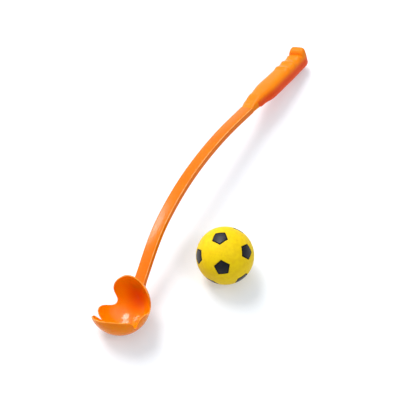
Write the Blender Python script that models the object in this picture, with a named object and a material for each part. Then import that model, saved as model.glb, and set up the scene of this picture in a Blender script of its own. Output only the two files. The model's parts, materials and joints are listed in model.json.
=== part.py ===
"""Dog ball thrower with its football: a four-clawed cup on a long arched arm with a
two-shell handle, and a foam-rubber ball that lies on the floor beside it.

Units are metres and +Z is up. The thrower is drawn in its own frame: x runs from the
centre of the cup to the end of the handle, z points out of the cup's mouth, and the
arm's arch lies in the xz plane. An empty then lays it on the floor, rolled to its left,
as it rests. The origin is on the floor, in the middle of thrower and ball together.
"""

import math

import bmesh
import bpy
import numpy as np
from mathutils import Matrix, Vector
from mathutils.geometry import interpolate_bezier

# Driving sizes of the cup.
CUP_RADIUS = 0.0331
CUP_WALL = 0.0020
CUP_SEGMENTS = 48
CUP_RINGS = 24

# The rim, seen from the side, as shares of the cup's radius: rear claw, notch, side
# claw, notch, front claw. Both sides of the cup are cut by this one outline.
RIM_SHARES = [
    (1.20, 0.72),
    (0.93, 0.42),
    (0.87, 0.31),
    (0.78, 0.21),
    (0.69, 0.09),
    (0.62, -0.05),
    (0.575, -0.20),
    (0.54, -0.35),
    (0.49, -0.46),
    (0.41, -0.52),
    (0.31, -0.525),
    (0.21, -0.46),
    (0.10, -0.35),
    (0.00, -0.27),
    (-0.13, -0.22),
    (-0.25, -0.24),
    (-0.335, -0.32),
    (-0.39, -0.43),
    (-0.435, -0.485),
    (-0.475, -0.45),
    (-0.50, -0.33),
    (-0.535, -0.19),
    (-0.59, -0.09),
    (-0.68, 0.01),
    (-0.79, 0.11),
    (-0.88, 0.20),
    (-1.20, 0.40),
]
RIM_SMOOTH_STEPS = 2

# Driving sizes of the arm. The chord runs from the cup's centre to the handle's end, and
# the arm starts at the end of a short boss that stands out behind the cup.
CHORD = 0.3931
BOSS_STAND = 0.0084
ARCH_RISE = 0.0318
ARM_WIDTH = 0.0157
ARM_WIDTH_SHARES = [(0.00, 0.97), (0.50, 1.00), (1.00, 1.04)]
ARM_THICK_AT_CUP = 0.0050
ARM_THICK_AT_HANDLE = 0.0068
ARM_SECTION_POWER = 5.0
ARM_STATIONS = 36

# The arm's course: where it starts, as a share of the rise and a slope in degrees, and
# then share of the chord, share of the rise, and slope in degrees.
ARM_START_SHARE = -0.055
ARM_START_SLOPE = 24.5
ARM_COURSE_SHARES = [
    (0.2541, 0.692, 14.2),
    (0.4588, 1.006, 0.0),
    (0.6558, 0.792, -10.3),
]

# The arm's underside is cored into bays with cross ribs between them.
CORE_SIDE_WALL = 0.0024
CORE_SKIN = 0.0022
CORE_RIB = 0.0018
CORE_BAYS = 9
CORE_END_MARGIN = 0.0100

# The socket behind the cup, and the tangs of the arm.
CUP_TANG_WIDTH = 0.0098
CUP_TANG_THICK = 0.0026
CUP_TANG_LENGTH = 0.0080
HANDLE_TANG_WIDTH = 0.0100
HANDLE_TANG_THICK = 0.0036
HANDLE_TANG_END = 0.0027

# Driving sizes of the handle, from the seam with the arm to the flat butt.
HANDLE_LENGTH = 0.1129
HANDLE_HALF_WIDTH = 0.0125
HANDLE_TOP_RISE = 0.0098
HANDLE_DEPTH = 0.0082
HANDLE_WALL = 0.0020
HANDLE_END_WALL = 0.0032
HANDLE_STATIONS = 40
HANDLE_EDGE_ROUND = 0.0017

# Shares of the handle's length, and there of its half width, top rise and depth.
HALF_WIDTH_SHARES = [
    (0.00, 0.66),
    (0.18, 0.82),
    (0.36, 1.00),
    (0.63, 0.95),
    (0.94, 0.84),
    (1.00, 0.80),
]
TOP_RISE_SHARES = [
    (0.00, 0.34),
    (0.07, 0.62),
    (0.18, 0.88),
    (0.36, 1.00),
    (0.63, 1.00),
    (1.00, 1.04),
]
DEPTH_SHARES = [
    (0.00, 0.43),
    (0.11, 0.45),
    (0.14, 0.66),
    (0.36, 1.00),
    (0.63, 1.00),
    (1.00, 0.97),
]
HANDLE_POWER = 3.4
POWER_BLEND_SHARE = 0.20

# Grip ribs across the top of the handle, and the thumb stop at its end.
GRIP_RIBS = 3
GRIP_PITCH = 0.0118
GRIP_RIB_LENGTH = 0.0098
GRIP_RIB_RISE = 0.0014
STOP_LENGTH = 0.0170
STOP_RISE = 0.0062

# Screws that hold the two shells of the handle together.
SCREW_NAMES = ["handle_screw_front", "handle_screw_middle", "handle_screw_rear"]
SCREW_SHARES = [0.215, 0.520, 0.840]
SCREW_CROWN_SHARE = 0.72
SCREW_RIM_SHARE = 0.55
SCREW_RADIUS = 0.0014
SCREW_LENGTH = 0.0100
SCREW_HEAD_RADIUS = 0.0027
SCREW_HEAD_THICK = 0.0016
POST_WALL = 0.0014

# The ball, and the twelve black pentagons let into it.
BALL_RADIUS = 0.0315
BALL_SEGMENTS = 48
BALL_RINGS = 24
PENTAGON_ANGLE = math.radians(17.0)
PENTAGON_DEPTH = 0.0010
BALL_FORWARD = 0.1093
BALL_ASIDE = 0.0645
BALL_TURN = (math.radians(-146.3), math.radians(15.4), math.radians(84.9))

# How the thrower lies on the floor.
RESTING_ROLL = math.radians(30.0)
PITCH_STEPS = 48
PITCH_LIMIT = math.radians(12.0)

# Gaps between pieces that touch, and how far cutters run past what they cut.
GAP = 0.0003
OVERRUN = 0.0030
ROUND_STEPS = 16
SECTION_POINTS = 20
SHARP_ANGLE = math.radians(38.0)


def clear_scene():
    for thing in list(bpy.data.objects):
        bpy.data.objects.remove(thing, do_unlink=True)


def srgb(code):
    """The linear colour of a hex code as a screen shows it."""
    channels = [int(code[i : i + 2], 16) / 255 for i in (1, 3, 5)]
    linear = [c / 12.92 if c <= 0.04045 else ((c + 0.055) / 1.055) ** 2.4 for c in channels]
    return (*linear, 1.0)


def plastic(name, code, roughness, metallic=0.0):
    material = bpy.data.materials.new(name)
    material.use_nodes = True
    shader = material.node_tree.nodes["Principled BSDF"]
    shader.inputs["Base Color"].default_value = srgb(code)
    shader.inputs["Roughness"].default_value = roughness
    shader.inputs["Metallic"].default_value = metallic
    material.diffuse_color = srgb(code)
    return material


def make_object(name, mesh_builder, material, parent=None):
    """A named object from a finished bmesh, shaded smooth with its creases kept."""
    bmesh.ops.recalc_face_normals(mesh_builder, faces=mesh_builder.faces)
    mesh = bpy.data.meshes.new(name)
    mesh_builder.to_mesh(mesh)
    mesh_builder.free()
    mesh.shade_smooth()
    mesh.set_sharp_from_angle(angle=SHARP_ANGLE)
    thing = bpy.data.objects.new(name, mesh)
    bpy.context.scene.collection.objects.link(thing)
    if material:
        thing.data.materials.append(material)
    thing.parent = parent
    return thing


def make_cutter(name, mesh_builder, parent=None):
    cutter = make_object(name, mesh_builder, None, parent)
    cutter.hide_render = True
    cutter.display_type = "WIRE"
    return cutter


def combine(target, other, operation):
    """Cuts, joins or intersects target with other through a live Boolean."""
    modifier = target.modifiers.new(f"{operation.lower()} {other.name}", "BOOLEAN")
    modifier.operation = operation
    modifier.object = other
    modifier.solver = "EXACT"
    return modifier


def between(pairs, share):
    """Reads a smooth curve through (place, value) pairs at a place."""
    for (place_a, value_a), (place_b, value_b) in zip(pairs, pairs[1:]):
        if share <= place_b:
            part = (share - place_a) / (place_b - place_a)
            part = part * part * (3 - 2 * part)
            return value_a + (value_b - value_a) * part
    return pairs[-1][1]


def loft(mesh_builder, rings):
    """A closed body through rings of equal counts of points."""
    rows = [[mesh_builder.verts.new(point) for point in ring] for ring in rings]
    count = len(rows[0])
    for row, following in zip(rows, rows[1:]):
        for i in range(count):
            j = (i + 1) % count
            mesh_builder.faces.new((row[i], row[j], following[j], following[i]))
    mesh_builder.faces.new(rows[0][::-1])
    mesh_builder.faces.new(rows[-1])


def add_cylinder(mesh_builder, matrix, radius, length):
    """A cylinder whose base is at the matrix's origin and which runs along its z."""
    bmesh.ops.create_cone(
        mesh_builder,
        cap_ends=True,
        segments=ROUND_STEPS,
        radius1=radius,
        radius2=radius,
        depth=length,
        matrix=matrix @ Matrix.Translation((0, 0, length / 2)),
    )


def sphere(radius, segments, rings):
    mesh_builder = bmesh.new()
    bmesh.ops.create_uvsphere(
        mesh_builder, u_segments=segments, v_segments=rings, radius=radius
    )
    return mesh_builder


def smooth_outline(points, steps):
    """Points on a smooth curve through all the points given, whose ends it keeps."""
    padded = [points[0], *points, points[-1]]
    curve = []
    for before, start, end, after in zip(padded, padded[1:], padded[2:], padded[3:]):
        start_handle = start + (end - before) / 6
        end_handle = end - (after - start) / 6
        curve += interpolate_bezier(start, start_handle, end_handle, end, steps + 1)[:-1]
    return [*curve, points[-1]]


class Course:
    """The middle line of the arm and of the handle, which carries on straight from it."""

    def __init__(self):
        start = Vector((CUP_RADIUS + BOSS_STAND, ARM_START_SHARE * ARCH_RISE))
        knots = [(start, math.radians(ARM_START_SLOPE))]
        for x, z, slope in ARM_COURSE_SHARES:
            knots.append((Vector((x * CHORD, z * ARCH_RISE)), math.radians(slope)))
        seam_x = CHORD - HANDLE_LENGTH * math.cos(knots[-1][1])
        last, slope = knots[-1]
        seam = last + Vector((seam_x - last.x, (seam_x - last.x) * math.tan(slope)))
        self.points = []
        for (start, slope_a), (end, slope_b) in zip(knots, knots[1:]):
            reach = (end - start).length / 3
            handle_a = start + reach * Vector((math.cos(slope_a), math.sin(slope_a)))
            handle_b = end - reach * Vector((math.cos(slope_b), math.sin(slope_b)))
            self.points += interpolate_bezier(start, handle_a, handle_b, end, ARM_STATIONS)[:-1]
        self.points += [last, seam]
        self.lengths = [0.0]
        for a, b in zip(self.points, self.points[1:]):
            self.lengths.append(self.lengths[-1] + (b - a).length)
        self.arm_length = self.lengths[-1]
        self.start_slope = knots[0][1]
        self.end_slope = slope

    def at(self, distance):
        """A matrix at a distance along the course: x along it, y left, z out of the arch."""
        if distance <= 0:
            spot = self.points[0]
            slope = self.start_slope
            spot = spot + distance * Vector((math.cos(slope), math.sin(slope)))
        elif distance >= self.arm_length:
            slope = self.end_slope
            beyond = distance - self.arm_length
            spot = self.points[-1] + beyond * Vector((math.cos(slope), math.sin(slope)))
        else:
            i = max(k for k, length in enumerate(self.lengths) if length <= distance)
            a, b = self.points[i], self.points[i + 1]
            part = (distance - self.lengths[i]) / (self.lengths[i + 1] - self.lengths[i])
            spot = a + (b - a) * part
            before = self.points[max(i - 1, 0)]
            after = self.points[min(i + 2, len(self.points) - 1)]
            slope_here = math.atan2((b - before).y, (b - before).x)
            slope_next = math.atan2((after - a).y, (after - a).x)
            slope = slope_here + (slope_next - slope_here) * part
        turn = Matrix.Rotation(-slope, 4, "Y")
        return Matrix.Translation((spot.x, 0, spot.y)) @ turn


def rounded_section(half_width, half_height, power):
    """A superellipse in the yz plane: an oblong with rounded corners."""
    ring = []
    for k in range(SECTION_POINTS):
        angle = 2 * math.pi * k / SECTION_POINTS
        cosine, sine = math.cos(angle), math.sin(angle)
        y = half_width * math.copysign(abs(cosine) ** (2 / power), cosine)
        z = half_height * math.copysign(abs(sine) ** (2 / power), sine)
        ring.append(Vector((0, y, z)))
    return ring


def half_section(half_width, height, power):
    """Half of a superellipse on the side that height's sign gives, closed by its flat."""
    ring = []
    for k in range(SECTION_POINTS + 1):
        angle = math.pi * k / SECTION_POINTS
        cosine, sine = math.cos(angle), abs(math.sin(angle))
        y = half_width * math.copysign(abs(cosine) ** (2 / power), cosine)
        ring.append(Vector((0, y, height * sine ** (2 / power))))
    return ring


def arm_thickness(distance, course):
    part = max(0.0, min(1.0, distance / course.arm_length))
    return ARM_THICK_AT_CUP + (ARM_THICK_AT_HANDLE - ARM_THICK_AT_CUP) * part


def arm_half_width(distance, course):
    return ARM_WIDTH / 2 * between(ARM_WIDTH_SHARES, max(0.0, distance / course.arm_length))


def screw_post_room():
    """The radius of the hole that lets the front screw's post through the arm's tang."""
    return SCREW_RADIUS + POST_WALL + 2 * GAP


def handle_tang_length():
    """The tang in the handle reaches a little past the front screw."""
    return SCREW_SHARES[0] * HANDLE_LENGTH + screw_post_room() + HANDLE_TANG_END


def arm_ring(distance, course):
    half = arm_thickness(distance, course) / 2
    ring = rounded_section(arm_half_width(distance, course), half, ARM_SECTION_POWER)
    place = course.at(distance)
    return [place @ point for point in ring]


def block_ring(place, half_width, low, high):
    corners = [(half_width, low), (half_width, high), (-half_width, high), (-half_width, low)]
    return [place @ Vector((0, y, z)) for y, z in corners]


def make_cup(course, material, parent):
    """The cup: a ball-shaped shell with a boss behind it, cut into four claws."""
    cup = make_object("cup", sphere(CUP_RADIUS, CUP_SEGMENTS, CUP_RINGS), material, parent)

    boss = bmesh.new()
    boss_reach = CUP_TANG_LENGTH + GAP + CUP_WALL + OVERRUN
    loft(boss, [arm_ring(d, course) for d in (-boss_reach, -GAP)])
    combine(cup, make_cutter("boss_to_join", boss, parent), "UNION")

    hollow = sphere(CUP_RADIUS - CUP_WALL, CUP_SEGMENTS, CUP_RINGS)
    combine(cup, make_cutter("hollow_of_cup", hollow, parent), "DIFFERENCE")

    outline = [Vector((x * CUP_RADIUS, z * CUP_RADIUS)) for x, z in RIM_SHARES]
    outline = smooth_outline(outline, RIM_SMOOTH_STEPS)
    sky = CUP_RADIUS + OVERRUN
    outline += [Vector((outline[-1].x, sky)), Vector((outline[0].x, sky))]
    side = CUP_RADIUS + OVERRUN
    rim = bmesh.new()
    loft(rim, [[Vector((p.x, y, p.y)) for p in outline] for y in (-side, side)])
    combine(cup, make_cutter("rim_outline", rim, parent), "DIFFERENCE")

    socket = bmesh.new()
    rings = []
    for distance in (-CUP_TANG_LENGTH - GAP, OVERRUN):
        half = CUP_TANG_THICK / 2 + GAP
        rings.append(block_ring(course.at(distance), CUP_TANG_WIDTH / 2 + GAP, -half, half))
    loft(socket, rings)
    combine(cup, make_cutter("socket_for_arm", socket, parent), "DIFFERENCE")
    return cup


def make_arm(course, material, parent):
    """The arm: a long strap on an arched course, with a tang at each end and a cored
    underside."""
    strap = bmesh.new()
    count = ARM_STATIONS
    end = course.arm_length - GAP
    loft(strap, [arm_ring(GAP / 2 + (end - GAP) * k / count, course) for k in range(count + 1)])
    arm = make_object("arm", strap, material, parent)

    tangs = bmesh.new()
    root = course.arm_length - OVERRUN
    tip = course.arm_length + handle_tang_length()
    spans = [
        (-CUP_TANG_LENGTH, OVERRUN, CUP_TANG_WIDTH, CUP_TANG_THICK),
        (root, tip, HANDLE_TANG_WIDTH, HANDLE_TANG_THICK),
    ]
    for start, finish, width, thick in spans:
        places = [course.at(start), course.at(finish)]
        loft(tangs, [block_ring(place, width / 2, -thick / 2, thick / 2) for place in places])
    combine(arm, make_cutter("tangs_to_join", tangs, parent), "UNION")

    bays = bmesh.new()
    first = CORE_END_MARGIN
    last = course.arm_length - CORE_END_MARGIN
    pitch = (last - first) / CORE_BAYS
    for bay in range(CORE_BAYS):
        start = first + pitch * bay + CORE_RIB / 2
        finish = first + pitch * (bay + 1) - CORE_RIB / 2
        rings = []
        for k in range(5):
            distance = start + (finish - start) * k / 4
            half = arm_thickness(distance, course) / 2
            inner = arm_half_width(distance, course) - CORE_SIDE_WALL
            rings.append(block_ring(course.at(distance), inner, -half - OVERRUN, half - CORE_SKIN))
        loft(bays, rings)
    combine(arm, make_cutter("bays_under_arm", bays, parent), "DIFFERENCE")

    hole = bmesh.new()
    place = course.at(course.arm_length + SCREW_SHARES[0] * HANDLE_LENGTH)
    below = place @ Matrix.Translation((0, 0, -HANDLE_TANG_THICK))
    add_cylinder(hole, below, screw_post_room(), 2 * HANDLE_TANG_THICK)
    combine(arm, make_cutter("screw_hole_in_tang", hole, parent), "DIFFERENCE")
    return arm


def grip_rise(distance):
    """How far the ribs and the thumb stop stand above the handle's top at a distance."""
    rise = 0.0
    swells = [(HANDLE_LENGTH, STOP_LENGTH, STOP_RISE)]
    first = HANDLE_LENGTH - STOP_LENGTH / 2 - GRIP_RIB_LENGTH / 2
    swells += [(first - GRIP_PITCH * k, GRIP_RIB_LENGTH, GRIP_RIB_RISE) for k in range(GRIP_RIBS)]
    for middle, length, height in swells:
        away = abs(distance - middle) / (length / 2)
        if away < 1:
            rise = max(rise, height * math.sqrt(1 - away * away))
    return rise


def handle_sizes(distance):
    """(half width, top rise, depth) of the handle at a distance behind its seam."""
    share = distance / HANDLE_LENGTH
    half_width = HANDLE_HALF_WIDTH * between(HALF_WIDTH_SHARES, share)
    top = HANDLE_TOP_RISE * between(TOP_RISE_SHARES, share)
    depth = HANDLE_DEPTH * between(DEPTH_SHARES, share)
    to_end = max(0.0, HANDLE_EDGE_ROUND - (HANDLE_LENGTH - distance))
    tuck = HANDLE_EDGE_ROUND - math.sqrt(max(0.0, HANDLE_EDGE_ROUND**2 - to_end**2))
    return half_width - tuck, top + grip_rise(distance) - tuck, depth - tuck


def handle_power(distance):
    share = min(1.0, distance / HANDLE_LENGTH / POWER_BLEND_SHARE)
    return ARM_SECTION_POWER + (HANDLE_POWER - ARM_SECTION_POWER) * share


def handle_rings(course, start, finish, steps, side, inset, base):
    """Rings of one shell of the handle: side is 1 for the top and -1 for the underside,
    inset is how far inside the outer skin they lie and base where their flat is."""
    rings = []
    for k in range(steps + 1):
        distance = start + (finish - start) * k / steps
        half_width, top, depth = handle_sizes(distance)
        if inset:
            top -= grip_rise(distance)
        height = (top if side > 0 else depth) - inset - abs(base)
        place = course.at(course.arm_length + distance)
        ring = half_section(half_width - inset, side * height, handle_power(distance))
        rings.append([place @ (point + Vector((0, 0, base))) for point in ring])
    return rings


def screw_places(course):
    return [course.at(course.arm_length + share * HANDLE_LENGTH) for share in SCREW_SHARES]


def screw_head_level():
    """How far below the parting plane the seat of a screw's head lies."""
    return HANDLE_DEPTH - HANDLE_WALL - SCREW_HEAD_THICK


def tang_slot(course):
    """The room that the arm's tang needs between the two shells."""
    slot = bmesh.new()
    half = HANDLE_TANG_THICK / 2 + GAP
    ends = (-OVERRUN, handle_tang_length() + GAP)
    places = [course.at(course.arm_length + distance) for distance in ends]
    loft(slot, [block_ring(place, HANDLE_TANG_WIDTH / 2 + GAP, -half, half) for place in places])
    return slot


def make_handle_top(course, material, parent):
    """The upper shell: crowned, with grip ribs and a thumb stop, and posts inside."""
    outer = bmesh.new()
    steps = HANDLE_STATIONS
    loft(outer, handle_rings(course, GAP / 2, HANDLE_LENGTH, steps, 1, 0, GAP / 2))
    shell = make_object("handle_top", outer, material, parent)

    inner = bmesh.new()
    finish = HANDLE_LENGTH - HANDLE_END_WALL
    steps = HANDLE_STATIONS // 4
    loft(inner, handle_rings(course, HANDLE_WALL, finish, steps, 1, HANDLE_WALL, 0))
    inner.transform(Matrix.Translation((0, 0, -GAP)))
    combine(shell, make_cutter("hollow_of_top", inner, parent), "DIFFERENCE")

    slot = tang_slot(course)
    combine(shell, make_cutter("slot_for_tang_above", slot, parent), "DIFFERENCE")

    posts = bmesh.new()
    for place in screw_places(course):
        base = place @ Matrix.Translation((0, 0, GAP / 2))
        add_cylinder(posts, base, SCREW_RADIUS + POST_WALL, HANDLE_TOP_RISE - HANDLE_WALL / 2)
    combine(shell, make_cutter("posts_to_join", posts, parent), "UNION")

    bores = bmesh.new()
    for place in screw_places(course):
        base = place @ Matrix.Translation((0, 0, -OVERRUN))
        depth = SCREW_LENGTH - screw_head_level() + GAP
        add_cylinder(bores, base, SCREW_RADIUS + GAP, OVERRUN + depth)
    combine(shell, make_cutter("bores_in_posts", bores, parent), "DIFFERENCE")
    return shell


def make_handle_bottom(course, material, parent):
    """The lower shell: a deep rounded trough that starts with a step under the arm."""
    outer = bmesh.new()
    steps = HANDLE_STATIONS // 2
    loft(outer, handle_rings(course, GAP / 2, HANDLE_LENGTH, steps, -1, 0, -GAP / 2))
    shell = make_object("handle_bottom", outer, material, parent)

    inner = bmesh.new()
    finish = HANDLE_LENGTH - HANDLE_END_WALL
    steps = HANDLE_STATIONS // 4
    loft(inner, handle_rings(course, HANDLE_WALL, finish, steps, -1, HANDLE_WALL, 0))
    inner.transform(Matrix.Translation((0, 0, GAP)))
    combine(shell, make_cutter("hollow_of_bottom", inner, parent), "DIFFERENCE")

    slot = tang_slot(course)
    combine(shell, make_cutter("slot_for_tang_below", slot, parent), "DIFFERENCE")

    tubes = bmesh.new()
    head_level = screw_head_level()
    for place, share in zip(screw_places(course), SCREW_SHARES):
        depth = handle_sizes(share * HANDLE_LENGTH)[2] - HANDLE_WALL / 2
        under_tang = share * HANDLE_LENGTH < handle_tang_length()
        top_of_tube = HANDLE_TANG_THICK / 2 + GAP if under_tang else GAP / 2
        base = place @ Matrix.Translation((0, 0, -depth))
        add_cylinder(tubes, base, SCREW_HEAD_RADIUS + GAP + POST_WALL, depth - top_of_tube)
    combine(shell, make_cutter("tubes_to_join", tubes, parent), "UNION")

    bores = bmesh.new()
    counterbores = bmesh.new()
    for place in screw_places(course):
        through = place @ Matrix.Translation((0, 0, -head_level - OVERRUN))
        add_cylinder(bores, through, SCREW_RADIUS + GAP, head_level + 2 * OVERRUN)
        below = place @ Matrix.Translation((0, 0, -HANDLE_DEPTH - OVERRUN))
        depth = HANDLE_DEPTH + OVERRUN - head_level + GAP
        add_cylinder(counterbores, below, SCREW_HEAD_RADIUS + GAP, depth)
    combine(shell, make_cutter("screw_bores", bores, parent), "DIFFERENCE")
    combine(shell, make_cutter("screw_counterbores", counterbores, parent), "DIFFERENCE")
    return shell


def make_screws(course, material, parent):
    """Three pan-head screws, driven from the underside into the posts above."""
    head_level = screw_head_level()
    tip = SCREW_LENGTH - head_level
    profile = [
        (0, -head_level - SCREW_HEAD_THICK),
        (SCREW_HEAD_RADIUS * SCREW_CROWN_SHARE, -head_level - SCREW_HEAD_THICK),
        (SCREW_HEAD_RADIUS, -head_level - SCREW_HEAD_THICK * SCREW_RIM_SHARE),
        (SCREW_HEAD_RADIUS, -head_level),
        (SCREW_RADIUS, -head_level),
        (SCREW_RADIUS, tip - SCREW_RADIUS),
        (0, tip),
    ]
    for name, place in zip(SCREW_NAMES, screw_places(course)):
        turned = bmesh.new()
        ends = [turned.verts.new((radius, 0, height)) for radius, height in profile]
        edges = [turned.edges.new(pair) for pair in zip(ends, ends[1:])]
        bmesh.ops.spin(
            turned,
            geom=ends + edges,
            cent=(0, 0, 0),
            axis=(0, 0, 1),
            angle=2 * math.pi,
            steps=ROUND_STEPS,
            use_merge=True,
        )
        bmesh.ops.remove_doubles(turned, verts=turned.verts, dist=GAP / 100)
        screw = make_object(name, turned, material, parent)
        screw.matrix_local = place


def pentagon_directions():
    """The twelve directions of an icosahedron's corners."""
    golden = (1 + math.sqrt(5)) / 2
    corners = []
    for a in (-1, 1):
        for b in (-golden, golden):
            corners += [Vector((0, a, b)), Vector((a, b, 0)), Vector((b, 0, a))]
    return [corner.normalized() for corner in corners]


def add_pentagon_wedge(mesh_builder, direction, inset, low, high):
    """A five-sided wedge that points at the ball's centre, drawn in by inset."""
    others = [other for other in pentagon_directions() if other != direction]
    nearest = max(others, key=direction.dot)
    towards = (nearest - direction * nearest.dot(direction)).normalized()
    across = direction.cross(towards)
    rings = []
    for height in (low, high):
        reach = height * math.tan(PENTAGON_ANGLE) - inset / math.cos(math.pi / 5)
        ring = []
        for k in range(5):
            angle = 2 * math.pi * k / 5
            spoke = towards * math.cos(angle) + across * math.sin(angle)
            ring.append(direction * height + spoke * reach)
        rings.append(ring)
    loft(mesh_builder, rings)


def pentagon_floor():
    """How far from the ball's centre the flat floor of a recess lies: below its corners."""
    return BALL_RADIUS * math.cos(PENTAGON_ANGLE) - PENTAGON_DEPTH


def make_ball(rubber, patch_rubber, parent):
    """The ball, with a recess for each of its twelve pentagons, and the pentagons."""
    ball = make_object("ball", sphere(BALL_RADIUS, BALL_SEGMENTS, BALL_RINGS), rubber, parent)
    floor = pentagon_floor()
    sky = BALL_RADIUS + OVERRUN
    recesses = bmesh.new()
    for direction in pentagon_directions():
        add_pentagon_wedge(recesses, direction, 0, floor, sky)
    combine(ball, make_cutter("pentagon_recesses", recesses, parent), "DIFFERENCE")

    skin = make_cutter("skin_of_ball", sphere(BALL_RADIUS - GAP / 3, BALL_SEGMENTS, BALL_RINGS), parent)
    for number, direction in enumerate(pentagon_directions(), start=1):
        wedge = bmesh.new()
        add_pentagon_wedge(wedge, direction, GAP, floor + GAP, sky)
        pentagon = make_object(f"pentagon_{number:02d}", wedge, patch_rubber, parent)
        combine(pentagon, skin, "INTERSECT")


def resting_pitch(points):
    """The pitch at which the lowest of the handle's points just meets the floor."""
    low, high = -PITCH_LIMIT, PITCH_LIMIT
    roll = Matrix.Rotation(-RESTING_ROLL, 4, "X")
    for _ in range(PITCH_STEPS):
        middle = (low + high) / 2
        turn = Matrix.Rotation(middle, 4, "Y") @ roll
        if min((turn @ point).z for point in points) > -CUP_RADIUS:
            low = middle
        else:
            high = middle
    return low


def make_empty(name, parent=None):
    empty = bpy.data.objects.new(name, None)
    bpy.context.scene.collection.objects.link(empty)
    empty.parent = parent
    return empty


def centre_on_floor(ground):
    """Moves everything so that the origin is in the middle of it all, on the floor."""
    view = bpy.context.evaluated_depsgraph_get()
    lows, highs = [], []
    for thing in bpy.context.scene.objects:
        if thing.type != "MESH" or thing.hide_render:
            continue
        finished = thing.evaluated_get(view)
        vertices = finished.data.vertices
        corners = np.array([finished.matrix_world @ vertex.co for vertex in vertices])
        lows.append(corners.min(axis=0))
        highs.append(corners.max(axis=0))
    low, high = np.min(lows, axis=0), np.max(highs, axis=0)
    ground.location = (-(low[0] + high[0]) / 2, -(low[1] + high[1]) / 2, -low[2])


def main():
    clear_scene()
    course = Course()
    ground = make_empty("ground")

    thrower = make_empty("thrower_pose", ground)
    underside = handle_rings(course, 0, HANDLE_LENGTH, HANDLE_STATIONS // 2, -1, 0, 0)
    points = [point for ring in underside for point in ring]
    thrower.location = (0, 0, CUP_RADIUS)
    thrower.rotation_euler = (-RESTING_ROLL, resting_pitch(points), 0)

    orange = plastic("orange_polypropylene", "#F0730A", 0.32)
    orange_cup = plastic("orange_polypropylene_cup", "#F06A06", 0.30)
    orange_top = plastic("orange_polypropylene_handle_top", "#F0730A", 0.34)
    orange_bottom = plastic("orange_polypropylene_handle_bottom", "#E86A08", 0.34)
    zinc = plastic("zinc_plated_steel", "#B9BCBE", 0.35, 1.0)
    make_cup(course, orange_cup, thrower)
    make_arm(course, orange, thrower)
    make_handle_top(course, orange_top, thrower)
    make_handle_bottom(course, orange_bottom, thrower)
    make_screws(course, zinc, thrower)

    ball = make_empty("ball_pose", ground)
    ball.location = (BALL_FORWARD, -BALL_ASIDE, BALL_RADIUS)
    ball.rotation_euler = BALL_TURN
    yellow = plastic("yellow_foam_rubber", "#F2C80E", 0.55)
    black = plastic("black_foam_rubber", "#1E1C22", 0.45)
    make_ball(yellow, black, ball)
    centre_on_floor(ground)
    pitch = math.degrees(thrower.rotation_euler.y)
    print(f"arm {course.arm_length * 1000:.1f} mm along its course, pitch {pitch:.2f} degrees")


main()
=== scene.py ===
# %% [markdown]
# # A dog ball thrower and its football
# This lesson dresses a finished CAD model for a photograph-like render: an orange plastic
# thrower with a four-clawed cup, and a yellow foam-rubber ball with black patches. The CAD
# model gives every piece its place. Here each piece gets a finer shape and a real finish.

import bisect
import json
import math
from itertools import combinations

import bmesh
import bpy
from mathutils import Euler, Matrix, Vector
from mathutils.geometry import interpolate_bezier


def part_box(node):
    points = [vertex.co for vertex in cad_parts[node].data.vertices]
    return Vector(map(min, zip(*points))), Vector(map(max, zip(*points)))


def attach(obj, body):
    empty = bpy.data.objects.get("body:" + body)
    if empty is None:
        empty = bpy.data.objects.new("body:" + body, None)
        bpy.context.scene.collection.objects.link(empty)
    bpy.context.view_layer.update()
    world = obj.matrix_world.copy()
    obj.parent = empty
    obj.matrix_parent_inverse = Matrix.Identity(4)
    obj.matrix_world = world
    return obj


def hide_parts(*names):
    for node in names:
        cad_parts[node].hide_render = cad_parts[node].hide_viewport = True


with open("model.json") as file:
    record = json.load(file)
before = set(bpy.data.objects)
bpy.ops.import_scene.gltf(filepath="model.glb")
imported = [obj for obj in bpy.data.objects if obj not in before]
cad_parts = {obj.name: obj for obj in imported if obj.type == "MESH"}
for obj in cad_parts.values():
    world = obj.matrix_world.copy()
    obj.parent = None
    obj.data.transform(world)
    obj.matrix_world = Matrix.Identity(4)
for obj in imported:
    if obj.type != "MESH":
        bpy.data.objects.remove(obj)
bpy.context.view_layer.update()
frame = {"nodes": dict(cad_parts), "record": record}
print("nodes:", ", ".join(sorted(frame["nodes"])))

# %% [markdown]
# ## Where the two things lie
# The ball's centre is the middle of the box round the ball and its patches. The thrower is
# drawn straight up in its own frame: x runs from the centre of the cup to the handle, and z
# points out of the cup. It lies on the floor rolled by 30 degrees and pitched by less than
# four. The mount on the flat butt of the handle says where that frame is.

# %% Sizes of the thrower's course, in metres
CUP_RADIUS = 0.0331
CUP_WALL = 0.0020
BOSS_STAND = 0.0084
CHORD = 0.3931
ARCH_RISE = 0.0318
ARM_START_SHARE = -0.055
ARM_START_SLOPE = 24.5
ARM_COURSE_SHARES = [
    (0.2541, 0.692, 14.2),
    (0.4588, 1.006, 0.0),
    (0.6558, 0.792, -10.3),
]
COURSE_STEPS = 60
HANDLE_LENGTH = 0.1129
BUTT_MOUNT_HEIGHT = 0.006
BALL_RADIUS = 0.0315
RESTING_ROLL = math.radians(30.0)
RESTING_PITCH = math.radians(3.664)


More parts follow.
